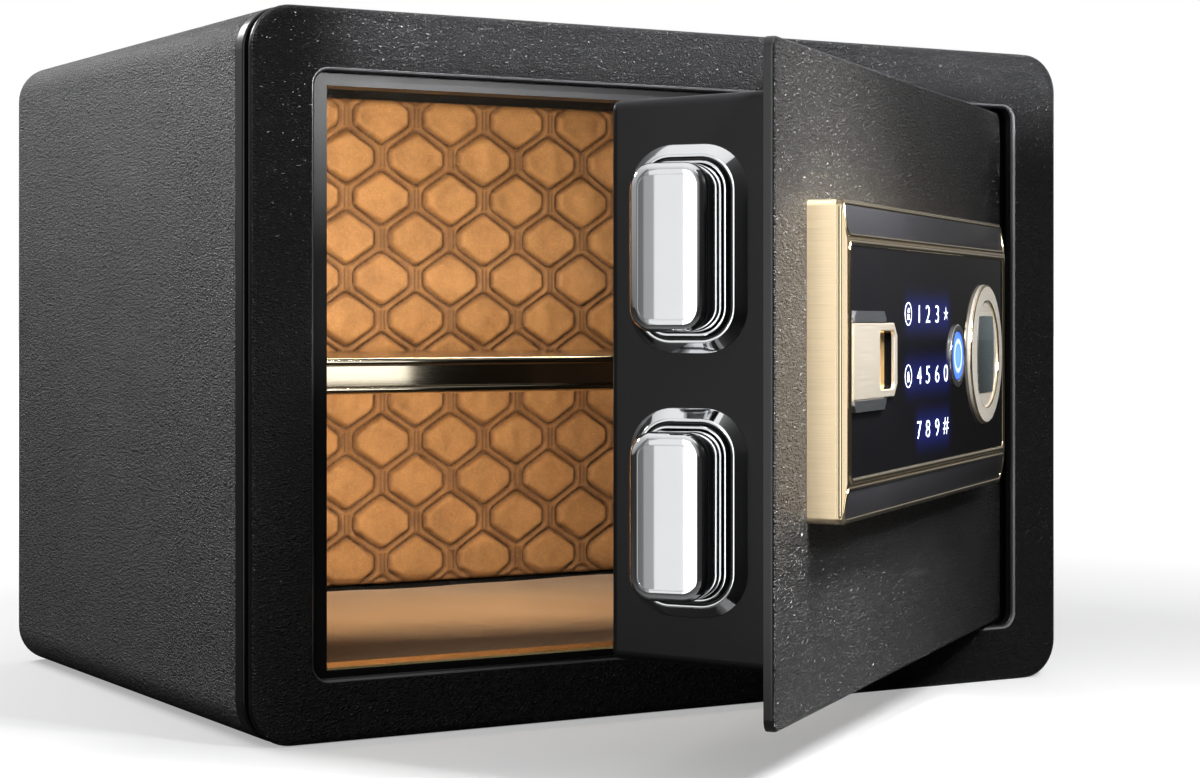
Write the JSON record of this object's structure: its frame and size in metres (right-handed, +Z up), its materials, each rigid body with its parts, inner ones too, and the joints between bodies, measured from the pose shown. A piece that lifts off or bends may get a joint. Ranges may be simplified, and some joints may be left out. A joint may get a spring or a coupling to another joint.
{
  "type": "gun safe",
  "caption": "Small gun safe with a swinging door, motor-driven locking bolts, keypad, fingerprint reader, sliding key-lock cover, shelf, floor pad and quilted lining.",
  "frame": {"origin": "centre of the cabinet's underside", "axes": "+Z up, the closed door faces -Y, +Y towards the wall behind, +X towards the hinge side"},
  "size_m": [0.35, 0.4242, 0.25],
  "materials": {
    "black_powder_coat": "leather-grained semi-gloss powder coat",
    "satin_black_paint": "smooth satin paint",
    "champagne_gold": "brushed champagne with polished edges",
    "gold_shelf": "satin gold paint",
    "tan_floor_fabric": "short pile",
    "tan_quilted_leather": "quilted, matte",
    "zinc_steel": "bright zinc plate",
    "bolt_chrome": "polished",
    "guide_nylon": "matte",
    "pinion_brass": "machined",
    "gloss_black": "high gloss",
    "black_glass": "high gloss, opaque backing",
    "sensor_grey": "satin optical window",
    "wake_blue": "lit from behind",
    "board_green": "solder mask",
    "cover_plastic": "fine grain",
    "reset_red": "satin",
    "cell_wrap": "plain shrink sleeve"
  },
  "bodies": {
    "cabinet": {"body_wrap": "black_powder_coat", "front_frame": "black_powder_coat", "door_stop": "black_powder_coat", "sill_trim": "champagne_gold", "hinge_guard": "black_powder_coat", "hinge_bracket_upper": "black_powder_coat", "hinge_bracket_lower": "black_powder_coat", "back_plate": "black_powder_coat", "bolt_keeper": "black_powder_coat", "floor_pad": "tan_floor_fabric", "back_lining": "tan_quilted_leather", "shelf": "gold_shelf", "shelf_rail_left": "black_powder_coat", "shelf_rail_right": "black_powder_coat"},
    "door": {"battery_1": "cell_wrap", "battery_2": "cell_wrap", "battery_3": "cell_wrap", "battery_4": "cell_wrap", "battery_box": "guide_nylon", "bolt_escutcheon_lower": "bolt_chrome", "bolt_escutcheon_upper": "bolt_chrome", "bolt_guide_lower": "guide_nylon", "bolt_guide_upper": "guide_nylon", "case_screw_lower_hinge": "zinc_steel", "case_screw_lower_latch": "zinc_steel", "case_screw_upper_hinge": "zinc_steel", "case_screw_upper_latch": "zinc_steel", "control_board": "board_green", "cover_guide_bottom": "bolt_chrome", "cover_guide_top": "bolt_chrome", "door_case": "satin_black_paint", "door_plate": "black_powder_coat", "fingerprint_bezel": "champagne_gold", "fingerprint_sensor": "sensor_grey", "gear_motor": "zinc_steel", "hinge_lug_lower": "black_powder_coat", "hinge_lug_upper": "black_powder_coat", "hinge_pin_lower": "zinc_steel", "hinge_pin_upper": "zinc_steel", "keypad_board": "board_green", "keypad_glass": "black_glass", "lock_cylinder": "zinc_steel", "lock_housing": "champagne_gold", "lock_nut": "zinc_steel", "motor_bracket": "zinc_steel", "panel_inset_bottom": "gloss_black", "panel_inset_top": "gloss_black", "reset_switch": "cover_plastic", "wake_ring": "bolt_chrome"},
    "boltwork": {"bolt_carriage": "zinc_steel", "bolt_upper": "bolt_chrome", "bolt_lower": "bolt_chrome"},
    "pinion": {"drive_pinion": "pinion_brass"},
    "key_cover": {"key_cover": "champagne_gold"},
    "key_lock": {"key_plug": "pinion_brass", "key_cam": "zinc_steel"},
    "wake_button": {"wake_button": "wake_blue"},
    "reset_button": {"reset_button": "reset_red"},
    "battery_cover": {"battery_cover": "cover_plastic"}
  },
  "joints": [
    {"name": "door_hinge", "type": "hinge", "parent": "cabinet", "child": "door", "pos_m": [0.1395, -0.117, 0.125], "axis": [0, 0, 1], "range_deg": [-37.5, 72.5]},
    {"name": "bolt_slide", "type": "slide", "parent": "door", "child": "boltwork", "axis": [-0.7934, -0.6088, 0], "range_m": [0, 0.016]},
    {"name": "pinion_spin", "type": "hinge", "parent": "door", "child": "pinion", "pos_m": [-0.02442, -0.21467, 0.136], "axis": [-0.6088, 0.7934, 0], "range_deg": [0, 115]},
    {"name": "key_cover_slide", "type": "slide", "parent": "door", "child": "key_cover", "axis": [0.7934, 0.6088, 0], "range_m": [0, 0.026]},
    {"name": "key_turn", "type": "hinge", "parent": "door", "child": "key_lock", "pos_m": [-0.04259, -0.27739, 0.131], "axis": [-0.6088, 0.7934, 0], "range_deg": [0, 90]},
    {"name": "wake_press", "type": "slide", "parent": "door", "child": "wake_button", "axis": [-0.6088, 0.7934, 0], "range_m": [0, 0.0008], "stiffness_N_per_m": 250},
    {"name": "reset_press", "type": "slide", "parent": "door", "child": "reset_button", "axis": [0.6088, -0.7934, 0], "range_m": [0, 0.0015], "stiffness_N_per_m": 250},
    {"name": "battery_cover_slide", "type": "slide", "parent": "door", "child": "battery_cover", "axis": [0.7934, 0.6088, 0], "range_m": [0, 0.008]}
  ],
  "couplings": [
    {"joint": "pinion_spin", "follows": "bolt_slide", "rad_per_m": 125}
  ]
}
